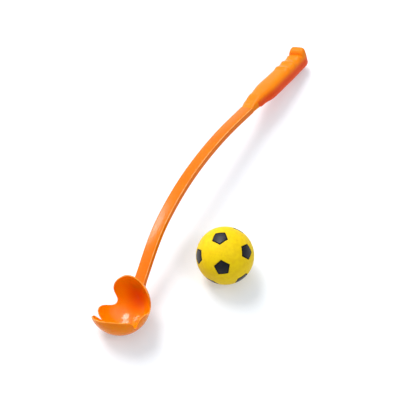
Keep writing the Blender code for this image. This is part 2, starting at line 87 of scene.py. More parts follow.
class Course:
    """The arched middle line of the arm, which carries on straight through the handle."""

    def __init__(self):
        start = Vector((CUP_RADIUS + BOSS_STAND, ARM_START_SHARE * ARCH_RISE))
        knots = [(start, math.radians(ARM_START_SLOPE))]
        for x, z, slope in ARM_COURSE_SHARES:
            knots.append((Vector((x * CHORD, z * ARCH_RISE)), math.radians(slope)))
        last, end_slope = knots[-1]
        run = CHORD - HANDLE_LENGTH * math.cos(end_slope) - last.x
        self.points = []
        for (start, slope_a), (end, slope_b) in zip(knots, knots[1:]):
            reach = (end - start).length / 3
            leave = start + reach * Vector((math.cos(slope_a), math.sin(slope_a)))
            arrive = end - reach * Vector((math.cos(slope_b), math.sin(slope_b)))
            self.points += interpolate_bezier(start, leave, arrive, end, COURSE_STEPS)[:-1]
        self.points += [last, last + Vector((run, run * math.tan(end_slope)))]
        self.lengths = [0.0]
        for a, b in zip(self.points, self.points[1:]):
            self.lengths.append(self.lengths[-1] + (b - a).length)
        self.arm_length = self.lengths[-1]
        self.slopes = [math.radians(ARM_START_SLOPE)]
        for a, b in zip(self.points, self.points[2:]):
            self.slopes.append(math.atan2((b - a).y, (b - a).x))
        self.slopes.append(end_slope)

    def at(self, distance):
        """A matrix at a distance along the course: x along it, y left, z out of the arch."""
        inside = min(max(distance, 0.0), self.arm_length)
        i = min(bisect.bisect_right(self.lengths, inside), len(self.lengths) - 1) - 1
        part = (inside - self.lengths[i]) / (self.lengths[i + 1] - self.lengths[i])
        spot = self.points[i].lerp(self.points[i + 1], part)
        slope = self.slopes[i] + (self.slopes[i + 1] - self.slopes[i]) * part
        spot = spot + (distance - inside) * Vector((math.cos(slope), math.sin(slope)))
        return Matrix.Translation((spot.x, 0, spot.y)) @ Matrix.Rotation(-slope, 4, "Y")


course = Course()
butt = next(m for m in frame["record"]["mounts"] if m["name"] == "handle_butt")
thrower_turn = Matrix.Rotation(RESTING_PITCH, 4, "Y") @ Matrix.Rotation(-RESTING_ROLL, 4, "X")
butt_place = course.at(course.arm_length + HANDLE_LENGTH) @ Vector((0, 0, BUTT_MOUNT_HEIGHT))
cup_centre = Vector(butt["pos_m"]) - thrower_turn @ butt_place
THROWER = Matrix.Translation(cup_centre) @ thrower_turn
HANDLE = THROWER @ course.at(course.arm_length)

ball_nodes = [name for name in frame["nodes"] if name == "ball" or "pentagon" in name]
lows, highs = zip(*(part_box(name) for name in ball_nodes))
ball_low = Vector([min(corner[i] for corner in lows) for i in range(3)])
ball_high = Vector([max(corner[i] for corner in highs) for i in range(3)])
ball_centre = (ball_low + ball_high) / 2
print(f"arm {course.arm_length * 1000:.1f} mm, cup at {cup_centre[:]}, ball at {ball_centre[:]}")

# %% [markdown]
# ## The camera
# The photographer stood over the thrower and looked down at it steeply, from far enough
# away that it hardly narrows with distance. A long lens does that. The camera is placed by
# where the ball's centre shows in the frame, so its place follows from the ball's.

# %% Place the camera
VIEW_AZIMUTH = math.radians(-58.504)
VIEW_ELEVATION = math.radians(60.0)
FRAME_PIXELS = 400
FOCAL_PIXELS = 1575.5
SENSOR_WIDTH = 36.0
BALL_PIXEL = (225.1, 255.6)
BALL_DEPTH = 1.7

look = Vector((
    -math.sin(VIEW_AZIMUTH) * math.cos(VIEW_ELEVATION),
    math.cos(VIEW_AZIMUTH) * math.cos(VIEW_ELEVATION),
    -math.sin(VIEW_ELEVATION),
))
right = Vector((math.cos(VIEW_AZIMUTH), math.sin(VIEW_AZIMUTH), 0))
up = right.cross(look)
aside = (BALL_PIXEL[0] - FRAME_PIXELS / 2) / FOCAL_PIXELS * BALL_DEPTH
below = (BALL_PIXEL[1] - FRAME_PIXELS / 2) / FOCAL_PIXELS * BALL_DEPTH
camera_data = bpy.data.cameras.new("camera")
camera_data.sensor_width = SENSOR_WIDTH
camera_data.lens = FOCAL_PIXELS * SENSOR_WIDTH / FRAME_PIXELS
camera = bpy.data.objects.new("camera", camera_data)
facing = Matrix((right, up, -look)).transposed().to_4x4()
eye = ball_centre - look * BALL_DEPTH - right * aside + up * below
camera.matrix_world = Matrix.Translation(eye) @ facing
bpy.context.scene.collection.objects.link(camera)
bpy.context.scene.camera = camera
bpy.context.scene.view_settings.view_transform = "Standard"
print("lens", round(camera_data.lens, 1), "mm, eye at", [round(v, 3) for v in eye])

# %% [markdown]
# ## Colours and nodes
# A few helpers serve every material. One turns a colour as a screen shows it into the linear
# values that the renderer works with, and one adds a shader node with its settings, values
# and links. The rest add the nodes that come up again and again.


# %% Helpers for materials
def srgb(code):
    """The linear colour of a hex code."""
    channels = [int(code[i : i + 2], 16) / 255 for i in (1, 3, 5)]
    linear = [c / 12.92 if c <= 0.04045 else ((c + 0.055) / 1.055) ** 2.4 for c in channels]
    return (*linear, 1.0)


def add_node(tree, kind, values=None, links=None, **settings):
    """Adds a node, with its settings, the values of some inputs and links into others."""
    node = tree.nodes.new(kind)
    for name, value in settings.items():
        setattr(node, name, value)
    for name, value in (values or {}).items():
        node.inputs[name].default_value = value
    for name, source in (links or {}).items():
        tree.links.new(source, node.inputs[name])
    return node


def new_material(name, **values):
    """A material and its shader, whose constant values are set on the shader itself."""
    material = bpy.data.materials.new(name)
    material.use_nodes = True
    shader = material.node_tree.nodes["Principled BSDF"]
    for socket, value in values.items():
        shader.inputs[socket.replace("_", " ")].default_value = value
    return material, material.node_tree, shader


def object_place(tree):
    """The coordinates of each place in the object's own space."""
    return add_node(tree, "ShaderNodeTexCoord").outputs["Object"]


def noise(tree, place, width, detail, **more):
    """Noise whose features are about as wide as given, in metres."""
    values = {"Scale": 1 / width, "Detail": detail, **more}
    return add_node(tree, "ShaderNodeTexNoise", values, {"Vector": place}).outputs["Fac"]


def ranged(tree, source, span=(0.0, 1.0), onto=(0.0, 1.0), **settings):
    """A value whose span is mapped onto another, and clamped to it."""
    names = ("From Min", "From Max", "To Min", "To Max")
    values = dict(zip(names, (*span, *onto)))
    node = add_node(tree, "ShaderNodeMapRange", values, {"Value": source}, **settings)
    return node.outputs["Result"]


def product(tree, first, second):
    """One value times another."""
    links = {0: first, 1: second}
    return add_node(tree, "ShaderNodeMath", links=links, operation="MULTIPLY").outputs[0]


def two_toned(tree, value, darker, lighter, span=(0.0, 1.0)):
    """A colour that goes from one hex code to another as a value crosses its span."""
    tone = add_node(tree, "ShaderNodeValToRGB", links={"Fac": value})
    for stop, position, code in zip(tone.color_ramp.elements, span, (darker, lighter)):
        stop.position = position
        stop.color = srgb(code)
    return tone.outputs["Color"]


def mixed(tree, colour, code, share):
    """A colour with that of a hex code mixed in by a share."""
    values, links = {7: srgb(code)}, {0: share, 6: colour}
    return add_node(tree, "ShaderNodeMix", values, links, data_type="RGBA").outputs[2]


def bumped(tree, height, strength, depth):
    """The surface's normal, turned by a height that stands for a depth in metres."""
    values = {"Strength": strength, "Distance": depth}
    return add_node(tree, "ShaderNodeBump", values, {"Height": height}).outputs["Normal"]


# %% [markdown]
# ## Floor and light
# The set is a seamless white table. Its floor has to be pure white where nothing shades it
# and still show soft shadows, so its own colour is a light grey, and what the camera sees
# gets a glow on top. The key, up behind to the left, throws the shadows and is the bright
# spot in the cup. A fill on the near side, up to the right, brightens the line along the
# arm's edge, which is also a painted highlight, and lights the flank of the handle. A wide
# one overhead softens both, one further behind greys the top patch of the ball, and a low
# one far to the left draws the pale sheen on the arm. White walls all round are one plain
# level, which gives most of the light and fills the shadows, so these are faint and cool.
# Lamps of the sun kind stand in for the softboxes: each lights evenly from one direction,
# over the angle that its box has.

# %% Light the set
SOFTBOXES = {
    "key_softbox": {"towards": (0.344, 0.42, 0.84), "level": 1.50, "spread": math.radians(25)},
    "fill_softbox": {"towards": (-0.49, -0.26, 0.84), "level": 0.55, "spread": math.radians(18)},
    "top_softbox": {"towards": (0.05, 0.10, 1.0), "level": 0.30, "spread": math.radians(60)},
    "back_softbox": {"towards": (0.26, 0.76, 0.60), "level": 0.80, "spread": math.radians(24)},
    "low_softbox": {"towards": (0.78, 0.58, 0.22), "level": 0.80, "spread": math.radians(17)},
}
ROOM_LEVEL = 0.58
ROOM_TINT = "#E2F0FF"
FLOOR_COLOUR = "#E4E4E4"
FLOOR_GLOW = 0.20
FLOOR_SIZE = 6.0


def add_softbox(name, towards, level, spread):
    """A far, evenly lit softbox: left and away are seen from the camera."""
    left, away, height = towards
    flat_look = Vector((look.x, look.y, 0)).normalized()
    direction = -right * left + flat_look * away + Vector((0, 0, height))
    lamp = bpy.data.lights.new(name, "SUN")
    lamp.energy = level
    lamp.angle = spread
    thing = bpy.data.objects.new(name, lamp)
    thing.rotation_euler = direction.to_track_quat("Z", "Y").to_euler()
    bpy.context.scene.collection.objects.link(thing)


def seen_directly(tree):
    """1 for rays from the camera and for what gloss and glass show, otherwise 0."""
    path = add_node(tree, "ShaderNodeLightPath")
    gloss = {0: path.outputs["Is Camera Ray"], 1: path.outputs["Is Glossy Ray"]}
    either = add_node(tree, "ShaderNodeMath", links=gloss, operation="ADD")
    glass = {0: either.outputs[0], 1: path.outputs["Is Transmission Ray"]}
    return add_node(tree, "ShaderNodeMath", links=glass, operation="ADD", use_clamp=True)


for name, box in SOFTBOXES.items():
    add_softbox(name, **box)

world = bpy.data.worlds.new("white_room")
bpy.context.scene.world = world
world.use_nodes = True
room = world.node_tree
backdrop = room.nodes["Background"]
backdrop.inputs["Color"].default_value = srgb(ROOM_TINT)
backdrop.inputs["Strength"].default_value = ROOM_LEVEL

floor_mesh = bmesh.new()
bmesh.ops.create_grid(floor_mesh, x_segments=1, y_segments=1, size=FLOOR_SIZE / 2)
floor_data = bpy.data.meshes.new("floor")
floor_mesh.to_mesh(floor_data)
floor_mesh.free()
floor = bpy.data.objects.new("floor", floor_data)
bpy.context.scene.collection.objects.link(floor)

table_white, tree, shader = new_material("matt_white_laminate", Roughness=0.75)
shader.inputs["Base Color"].default_value = srgb(FLOOR_COLOUR)
shader.inputs["Specular IOR Level"].default_value = 0.0
shader.inputs["Emission Color"].default_value = srgb("#FFFFFF")
glow = add_node(
    tree,
    "ShaderNodeMath",
    values={1: FLOOR_GLOW},
    links={0: seen_directly(tree).outputs[0]},
    operation="MULTIPLY",
)
tree.links.new(glow.outputs[0], shader.inputs["Emission Strength"])
floor_data.materials.append(table_white)
print(len(SOFTBOXES), "softboxes, a white room and a floor", FLOOR_SIZE, "m wide")

# %% [markdown]
# ## Orange polypropylene
# Throwers of this kind are injection moulded in polypropylene, a slightly translucent
# plastic with a satin skin. Light sinks in a little and comes out redder, which subsurface
# scattering gives. The steel mould leaves a fine orange-peel texture, and its flow marks
# are a faint change of tone over a few centimetres. The peel is really about half a
# millimetre wide. It is drawn at more than one, which is as fine as the render can show.
# Corners and lips are painted pale. This is partly rubbed wear, where they meet hands, grass and
# balls, and partly a painted highlight: the bright line that a rounded edge catches. Each mesh
# carries that as a vertex attribute of wear and highlight, and the scuff noise breaks it up.

# %% The orange plastic of each moulding
PP_IOR = 1.49
PEEL_WIDTH = 0.0013
PEEL_DEPTH = 0.00006
FLOW_WIDTH = 0.030
FLOW_SPAN = (0.30, 0.62)
SCUFF_WIDTH = 0.007
SCUFF_SPAN = (0.35, 0.60)
# The pale of rubbed edges, which also paints their highlight.
WORN_AND_HIGHLIT_COLOUR = "#FFB464"


def polypropylene(name, colour, deeper, roughness, gloss, thinness=0.12):
    """Satin injection-moulded plastic, with its flow marks, orange peel and pale edges of wear
    and painted highlight.
    """
    material, tree, shader = new_material(
        name,
        IOR=PP_IOR,
        Specular_IOR_Level=gloss,
        Subsurface_Weight=thinness,
        Subsurface_Radius=(1.0, 0.25, 0.10),
        Subsurface_Scale=0.0025,
    )
    place = object_place(tree)
    flow = noise(tree, place, FLOW_WIDTH, 2.0)
    tone = two_toned(tree, flow, deeper, colour, FLOW_SPAN)
    scuff = noise(tree, place, SCUFF_WIDTH, 5.0, Roughness=0.6)
    satin = ranged(tree, scuff, onto=(roughness - 0.06, roughness + 0.08))
    tree.links.new(satin, shader.inputs["Roughness"])
    patchy = ranged(tree, scuff, SCUFF_SPAN, (0.25, 0.85))
    # Edges are mixed pale by this attribute: rubbed wear and a painted highlight.
    wear_and_highlight = add_node(tree, "ShaderNodeAttribute", attribute_name="wear_and_highlight").outputs["Fac"]
    worn_and_highlit = mixed(tree, tone, WORN_AND_HIGHLIT_COLOUR, product(tree, wear_and_highlight, patchy))
    tree.links.new(worn_and_highlit, shader.inputs["Base Color"])
    peel = noise(tree, place, PEEL_WIDTH, 2.0)
    tree.links.new(bumped(tree, peel, 0.35, PEEL_DEPTH), shader.inputs["Normal"])
    return material


arm_orange = polypropylene("moulded_polypropylene_arm", "#E97400", "#E66E00", 0.19, 0.22)
cup_orange = polypropylene("moulded_polypropylene_cup", "#EE8400", "#EC7E00", 0.16, 0.08, 0.45)
handle_orange = polypropylene("moulded_polypropylene_handle", "#F5830A", "#F37D06", 0.34, 0.14)
print("three shades of moulded polypropylene")

# %% [markdown]
# ## The polished inside and the deeper spot of the cup
# Balls that snap in and roll out rub a glossy patch into the inside of the cup. The rest
# keeps the dull satin of the mould. The gloss therefore follows two distances: from the
# cup's centre, which tells the inner wall from the outer one, and from the patch's middle.
#
# Light shines through the thin wall of the cup, but not where the boss stands behind it, so
# the plastic there looks a deeper red. A ray tracer would need far thinner light to find
# this by itself. Here the deeper colour is mixed in by distance from the middle of that
# spot, which lies on the inner wall just below the boss.

# %% Polish the inside and mix the deeper spot in
RUBBED_GLOSS = 0.60
SATIN_GLOSS = 0.08
RUBBED_TOWARDS = (-0.10, 0.45, -0.88)
RUBBED_FULL = 0.010
RUBBED_FADE = 0.021
DEEP_COLOUR = "#E65200"
DEEP_TOWARDS = (0.84, 0.03, -0.54)
DEEP_FULL = 0.001
DEEP_FADE = 0.024

tree = cup_orange.node_tree
shader = tree.nodes["Principled BSDF"]
place = object_place(tree)


def distance_from(point):
    """How far each place on the cup is from a point."""
    values, links = {1: point}, {0: place}
    node = add_node(tree, "ShaderNodeVectorMath", values, links, operation="DISTANCE")
    return node.outputs["Value"]


def on_inner_wall(direction):
    """The point of the cup's inner wall in a direction of the thrower's frame."""
    return THROWER @ (Vector(direction).normalized() * (CUP_RADIUS - CUP_WALL))


wall_span = (CUP_RADIUS - 0.25 * CUP_WALL, CUP_RADIUS - 0.75 * CUP_WALL)
inside = ranged(tree, distance_from(cup_centre), wall_span)
rubbed = ranged(
    tree,
    distance_from(on_inner_wall(RUBBED_TOWARDS)),
    (RUBBED_FADE, RUBBED_FULL),
    interpolation_type="SMOOTHSTEP",
)
gloss = ranged(tree, product(tree, inside, rubbed), onto=(SATIN_GLOSS, RUBBED_GLOSS))
tree.links.new(gloss, shader.inputs["Specular IOR Level"])
cup_colour = shader.inputs["Base Color"].links[0].from_socket
deepness = ranged(
    tree,
    distance_from(on_inner_wall(DEEP_TOWARDS)),
    (DEEP_FADE, DEEP_FULL),
    interpolation_type="SMOOTHSTEP",
)
painted_shade_tone = mixed(tree, cup_colour, DEEP_COLOUR, deepness)
tree.links.new(painted_shade_tone, shader.inputs["Base Color"])
print("deeper spot at", [round(v, 3) for v in on_inner_wall(DEEP_TOWARDS)])

# %% [markdown]
# ## The painted shade on the handle's flanks
# From just behind the arm to the butt, the lower flanks of the handle, which face down, get a
# painted shade: a deeper red orange than its top. The change is soft across the flank and
# abrupt where it starts. It runs along the handle, so the colour is mixed in by height and
# length in the handle's own frame, into which a Mapping node turns the coordinates.

# %% Mix the painted shade of the flank in
FLANK_SHADE_COLOUR = "#EC4A00"
FLANK_SHADE_TOP = 0.0072
FLANK_SHADE_FULL = 0.0008
FLANK_SHADE_START = 0.0100
FLANK_SHADE_FADE = 0.0012

tree = handle_orange.node_tree
shader = tree.nodes["Principled BSDF"]
top_colour = shader.inputs["Base Color"].links[0].from_socket
along_handle = add_node(
    tree,
    "ShaderNodeMapping",
    values={"Location": HANDLE.translation, "Rotation": HANDLE.to_euler()},
    links={"Vector": object_place(tree)},
    vector_type="TEXTURE",
)
axes = add_node(tree, "ShaderNodeSeparateXYZ", links={"Vector": along_handle.outputs[0]})
low_enough = ranged(
    tree,
    axes.outputs["Z"],
    (FLANK_SHADE_TOP, FLANK_SHADE_FULL),
    interpolation_type="SMOOTHSTEP",
)
far_enough = ranged(tree, axes.outputs["X"], (FLANK_SHADE_START, FLANK_SHADE_START + FLANK_SHADE_FADE))
# The flank's deeper colour is painted shade.
painted_shade_tone = mixed(tree, top_colour, FLANK_SHADE_COLOUR, product(tree, low_enough, far_enough))
tree.links.new(painted_shade_tone, shader.inputs["Base Color"])
print("flank deeper below", FLANK_SHADE_TOP, "m, from", FLANK_SHADE_START, "m behind the arm")

# %% [markdown]
# ## Foam rubber and zinc
# The ball is foam rubber with a closed skin. The skin is slightly mottled, because the
# pigment settles unevenly, and it has fine pores that catch no light. The black patches are
# the same rubber with a smoother skin, a little greyer in the middle than at their rims. The
# rims' darker, rougher rubber is painted shade of the groove round each patch. The screws
# are zinc-plated steel: a bluish bright metal with a faint cloudiness.

# %% Rubber and metal
RUBBER_IOR = 1.52
RUBBER_GLOSS = 0.14
MOTTLE_WIDTH = 0.006
MOTTLE_SPAN = (0.34, 0.60)
PORE_WIDTH = 0.0011
PORE_SHARE = 0.35
ZINC_CLOUD_WIDTH = 0.002


def foam_rubber(name, colour, darker, roughness, pore_depth):
    """Skinned foam rubber: mottled in tone and finely pored."""
    material, tree, shader = new_material(name, IOR=RUBBER_IOR, Specular_IOR_Level=RUBBER_GLOSS)
    place = object_place(tree)
    mottle = noise(tree, place, MOTTLE_WIDTH, 6.0, Roughness=0.65)
    tone = two_toned(tree, mottle, darker, colour, MOTTLE_SPAN)
    tree.links.new(tone, shader.inputs["Base Color"])
    values, links = {"Scale": 1 / PORE_WIDTH}, {"Vector": place}
    pores = add_node(tree, "ShaderNodeTexVoronoi", values, links)
    skin = ranged(tree, pores.outputs["Distance"], (0.0, PORE_SHARE))
    dull = ranged(tree, skin, onto=(roughness + 0.12, roughness))
    tree.links.new(dull, shader.inputs["Roughness"])
    tree.links.new(bumped(tree, skin, 0.5, pore_depth), shader.inputs["Normal"])
    return material


yellow_rubber = foam_rubber("foam_rubber_yellow", "#F2CC02", "#E8BE02", 0.55, 0.00008)
black_rubber = foam_rubber("foam_rubber_black", "#19181C", "#0D0C10", 0.36, 0.00006)
black_rubber.node_tree.nodes["Principled BSDF"].inputs["Specular IOR Level"].default_value = 0.26
# The rims' darker colour is painted shade of the groove round each patch.
black_rim_shade = foam_rubber("foam_rubber_black_rim_shade", "#0E0C10", "#08070A", 0.50, 0.00004)

zinc, tree, shader = new_material("zinc_plated_steel", Metallic=1.0)
cloud = noise(tree, object_place(tree), ZINC_CLOUD_WIDTH, 4.0)
tree.links.new(two_toned(tree, cloud, "#A9ADB2", "#C9CCCE"), shader.inputs["Base Color"])
tree.links.new(ranged(tree, cloud, onto=(0.24, 0.42)), shader.inputs["Roughness"])
print("yellow and black foam rubber, and zinc-plated steel")


# %% [markdown]
# ## From a bmesh to a piece
# Every piece ends the same way. Its faces are turned outwards, it is shaded smooth but for
# its real edges, and it rides on its body in place of its CAD node.


# %% Finish a piece
def make_piece(name, mesh, materials, body, nodes, sharp=35.0):
    """Turns a bmesh, already in its place, into a piece that stands for its nodes."""
    bmesh.ops.recalc_face_normals(mesh, faces=mesh.faces)
    data = bpy.data.meshes.new(name)
    mesh.to_mesh(data)
    mesh.free()
    data.shade_smooth()
    data.set_sharp_from_angle(angle=math.radians(sharp))
    for material in materials:
        data.materials.append(material)
    piece = bpy.data.objects.new(name, data)
    bpy.context.scene.collection.objects.link(piece)
    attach(piece, body)
    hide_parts(*nodes)
    print(f"{name}: {len(data.polygons)} faces")


def boundary_edges(mesh):
    """The edges with a face on one side only."""
    return [edge for edge in mesh.edges if edge.is_boundary]


def new_verts(result):
    """The vertices among what an operator made."""
    return [item for item in result["geom"] if isinstance(item, bmesh.types.BMVert)]


def everything(mesh):
    """All that an operator can work on."""
    return mesh.verts[:] + mesh.edges[:] + mesh.faces[:]


def next_ring(mesh, edges):
    """Extrudes a closed line of edges: the new ring's vertices and its edges."""
    made = bmesh.ops.extrude_edge_only(mesh, edges=edges)
    ring = new_verts(made)
    there = set(ring)
    edges = [item for item in made["geom"] if isinstance(item, bmesh.types.BMEdge)]
    return ring, [edge for edge in edges if all(vert in there for vert in edge.verts)]


def round_edges(mesh, edges, width, steps, clamp=False):
    """Rounds edges off, and gives back what the operator made."""
    return bmesh.ops.bevel(
        mesh,
        geom=edges,
        offset=width,
        segments=steps,
        profile=0.5,
        affect="EDGES",
        material=-1,
        clamp_overlap=clamp,
    )


def cut_across(mesh, places, axis=0):
    """Cuts a straight piece with planes across an axis, its length unless said otherwise."""
    across = Matrix.Identity(3)[axis]
    for place in places:
        geom = everything(mesh)
        bmesh.ops.bisect_plane(mesh, geom=geom, plane_co=across * place, plane_no=across)


def mark_wear_and_highlight(mesh, amounts):
    """Stores how pale each vertex is painted, for wear and a painted highlight, for the
    plastic's material to read.
    """
    wear_and_highlight = mesh.verts.layers.float.new("wear_and_highlight")
    for vert, amount in zip(mesh.verts, amounts):
        vert[wear_and_highlight] = amount


# %% [markdown]
# ## The arm
# The arm is one long strap with crisp corners and a cored underside: bays between cross
# ribs save plastic and keep it stiff. It could be swept along a curve, but the bays would
# be hard to add. It is made straight instead, as a bar with rounded corners whose bays are
# pushed up from below, and is then laid on its arched course.

# %% Make the arm
ARM_WIDTH = 0.0157
ARM_WIDTH_SHARES = [(0.00, 0.97), (0.50, 1.00), (1.00, 1.04)]
ARM_THICK_AT_CUP = 0.0050
ARM_THICK_AT_HANDLE = 0.0068
ARM_CORNER = 0.0009
ARM_CORNER_STEPS = 3
ARM_CUT_PITCH = 0.0030
ARM_CROWN = 0.00035
CORE_SIDE_WALL = 0.0024
CORE_SKIN = 0.0022
CORE_RIB = 0.0018
CORE_BAYS = 9
CORE_END_MARGIN = 0.0100
CUP_TANG = (0.0080, 0.0098, 0.0026)
HANDLE_TANG = (0.0300, 0.0100, 0.0036)
TANG_ROOT = 0.001


def between(pairs, share):
    """Reads a smooth curve through (place, value) pairs at a place."""
    for (place_a, value_a), (place_b, value_b) in zip(pairs, pairs[1:]):
        if share <= place_b:
            part = max(0.0, (share - place_a) / (place_b - place_a))
            part = part * part * (3 - 2 * part)
            return value_a + (value_b - value_a) * part
    return pairs[-1][1]


def add_bar(mesh, start, finish, width, thick):
    """A straight bar along x, and its long edges."""
    size = Matrix.Diagonal((finish - start, width, thick, 1))
    middle = Matrix.Translation(((start + finish) / 2, 0, 0))
    made = bmesh.ops.create_cube(mesh, size=1, matrix=middle @ size)["verts"]
    edges = {edge for vert in made for edge in vert.link_edges}
    return [e for e in edges if abs(e.verts[0].co.x - e.verts[1].co.x) > (finish - start) / 2]


def on_corners(mesh):
    """For each vertex of a straight bar, 1 on its rounded corners and 0 elsewhere."""
    amounts = []
    for vert in mesh.verts:
        aside = abs(vert.co.y) - ARM_WIDTH / 2 + ARM_CORNER
        above = abs(vert.co.z) - ARM_THICK_AT_HANDLE / 2 + ARM_CORNER
        amounts.append(float(min(aside, above) > ARM_CORNER / 10))
    return amounts


def lay_arm(mesh):
    """Lays a straight bar of the arm's nominal section on the course, tapered as it is."""
    for vert in mesh.verts:
        share = min(max(vert.co.x / course.arm_length, 0.0), 1.0)
        wide = between(ARM_WIDTH_SHARES, share)
        thick = ARM_THICK_AT_CUP + (ARM_THICK_AT_HANDLE - ARM_THICK_AT_CUP) * share
        thick /= ARM_THICK_AT_HANDLE
        crown = ARM_CROWN * (vert.co.y / (ARM_WIDTH / 2)) ** 2 if vert.co.z > 0 else 0.0
        height = vert.co.z * thick - crown
        vert.co = course.at(vert.co.x) @ Vector((0, vert.co.y * wide, height))


arm = bmesh.new()
long_edges = add_bar(arm, 0, course.arm_length, ARM_WIDTH, ARM_THICK_AT_HANDLE)
round_edges(arm, long_edges, ARM_CORNER, ARM_CORNER_STEPS)
first, last = CORE_END_MARGIN, course.arm_length - CORE_END_MARGIN
pitch = (last - first) / CORE_BAYS
bays = [(first + pitch * k + CORE_RIB / 2, first + pitch * (k + 1) - CORE_RIB / 2)
        for k in range(CORE_BAYS)]
cut_across(arm, [x for bay in bays for x in bay])
inner = ARM_WIDTH / 2 - CORE_SIDE_WALL
cut_across(arm, (-inner, -inner / 2, 0, inner / 2, inner), axis=1)
floors = []
for face in arm.faces:
    middle = face.calc_center_median()
    in_bay = any(start < middle.x < finish for start, finish in bays)
    if in_bay and face.normal.z < -0.9 and abs(middle.y) < inner:
        floors.append(face)
pushed = bmesh.ops.extrude_face_region(arm, geom=floors)
bmesh.ops.delete(arm, geom=[face for face in floors if face.is_valid], context="FACES_ONLY")
depth = ARM_THICK_AT_HANDLE - CORE_SKIN
bmesh.ops.translate(arm, verts=new_verts(pushed), vec=(0, 0, depth))
cuts = int(course.arm_length / ARM_CUT_PITCH)
cut_across(arm, [course.arm_length * k / cuts for k in range(1, cuts)])
add_bar(arm, -CUP_TANG[0], TANG_ROOT, *CUP_TANG[1:])
arm_end = course.arm_length
add_bar(arm, arm_end - TANG_ROOT, arm_end + HANDLE_TANG[0], *HANDLE_TANG[1:])
# The rounded corners are painted pale: rubbed wear and the painted bright line along the edge.
mark_wear_and_highlight(arm, on_corners(arm))
lay_arm(arm)
arm.transform(THROWER)
make_piece("arm_moulding", arm, [arm_orange], "thrower", ["arm"])

# %% [markdown]
# ## The cup
# The cup is a ball-shaped shell whose rim rises into four claws. One outline, seen from the
# side, cuts both sides of it. A Boolean would leave a ragged edge that can't be rounded, so
# the rim is found first, as the curve where that outline meets the ball. A ring of vertices
# lies on it, and is extruded down to the pole. The inner wall is a smaller copy, which comes
# closer to the outer one towards the rim, because the real lip is thin.

# %% The rim of the cup
RIM_SHARES = [
    (1.20, 0.72),
    (0.93, 0.42),
    (0.87, 0.31),
    (0.78, 0.21),
    (0.69, 0.09),
    (0.62, -0.05),
    (0.575, -0.20),
    (0.54, -0.35),
    (0.49, -0.46),
    (0.41, -0.52),
    (0.31, -0.525),
    (0.21, -0.46),
    (0.10, -0.35),
    (0.00, -0.27),
    (-0.13, -0.22),
    (-0.25, -0.24),
    (-0.335, -0.32),
    (-0.39, -0.43),
    (-0.435, -0.485),
    (-0.475, -0.45),
    (-0.50, -0.33),
    (-0.535, -0.19),
    (-0.59, -0.09),
    (-0.68, 0.01),
    (-0.79, 0.11),
    (-0.88, 0.20),
    (-1.20, 0.40),
]
RIM_STEPS = 24
RIM_POINTS = 288


def smooth_outline(points, steps):
    """Points on a smooth curve through all the points given."""
    padded = [points[0], *points, points[-1]]
    curve = []
    for before, start, end, after in zip(padded, padded[1:], padded[2:], padded[3:]):
        leave = start + (end - before) / 6
        arrive = end - (after - start) / 6
        curve += interpolate_bezier(start, leave, arrive, end, steps + 1)[:-1]
    return [*curve, points[-1]]


def evenly(points, count):
    """The same line with count equal steps along it."""
    lengths = [0.0]
    for a, b in zip(points, points[1:]):
        lengths.append(lengths[-1] + (b - a).length)
    spaced = []
    for k in range(count + 1):
        place = lengths[-1] * k / count
        i = min(bisect.bisect_right(lengths, place), len(lengths) - 1) - 1
        part = (place - lengths[i]) / (lengths[i + 1] - lengths[i])
        spaced.append(points[i].lerp(points[i + 1], part))
    return spaced


def rim_on_ball():
    """The closed curve where the outline, drawn across y, meets a ball of radius 1."""
    outline = smooth_outline([Vector(pair) for pair in RIM_SHARES], RIM_STEPS)
    side = []
    for a, b in zip(outline, outline[1:]):
        if (a.length < 1) != (b.length < 1):
            outer, inner = (a, b) if a.length >= 1 else (b, a)
            part = (1 - inner.length) / (outer.length - inner.length)
            tip = inner.lerp(outer, part).normalized()
            side.append(Vector((tip.x, 0, tip.y)))
        if b.length < 1:
            side.append(Vector((b.x, math.sqrt(1 - b.length_squared), b.y)))
    side = [point.normalized() for point in evenly(side, RIM_POINTS // 2)]
    side[0].y = side[-1].y = 0
    return side + [Vector((p.x, -p.y, p.z)) for p in reversed(side[1:-1])]


rim = rim_on_ball()
print(len(rim), "points on the rim, lowest at", round(min(p.z for p in rim), 3), "radii")

# %% Make the cup
CUP_ROWS = 40
LIP_SHARE = 0.62
LIP_ROWS = 7
LIP_ROUND = 0.00055
LIP_WEAR_AND_HIGHLIGHT = 0.35
LIP_ANGLE = math.radians(55)
BOSS_REACH = 0.0133
BOSS_FLARE = 1.16
BOSS_CUTS = 10
POLE = Vector((0, 0, -1))

cup = bmesh.new()
ring = bmesh.ops.create_circle(cup, segments=len(rim), radius=1)["verts"]
for vert, point in zip(ring, rim):
    vert.co = point
edges = cup.edges[:]
rows = [ring]
for row in range(1, CUP_ROWS):
    ring, edges = next_ring(cup, edges)
    for vert in ring:
        vert.co = vert.co.slerp(POLE, 1 / (CUP_ROWS + 1 - row))
    rows.append(ring)
cap = bmesh.ops.contextual_create(cup, geom=edges)["faces"]
centre = bmesh.ops.poke(cup, faces=cap)["verts"][0]
centre.co = POLE
rows.append([centre])
row_of = {vert: row for row, verts in enumerate(rows) for vert in verts}

outer_verts = cup.verts[:]
copied = bmesh.ops.duplicate(cup, geom=everything(cup))
for vert in outer_verts:
    twin = copied["vert_map"][vert]
    full = min(1.0, row_of[vert] / LIP_ROWS)
    wall = CUP_WALL * (LIP_SHARE + (1 - LIP_SHARE) * full)
    twin.co = twin.co * (CUP_RADIUS - wall)
    vert.co = vert.co * CUP_RADIUS
bmesh.ops.bridge_loops(cup, edges=boundary_edges(cup))
bmesh.ops.recalc_face_normals(cup, faces=cup.faces)
lip = [edge for edge in cup.edges if edge.calc_face_angle(0) > LIP_ANGLE]
rounded = round_edges(cup, lip, LIP_ROUND, 3, clamp=True)
on_lip = {vert for face in rounded["faces"] for vert in face.verts}
# The rounded lip is painted pale too: rubbed wear and a painted highlight of the rim.
mark_wear_and_highlight(cup, [LIP_WEAR_AND_HIGHLIGHT if vert in on_lip else 0.0 for vert in cup.verts])

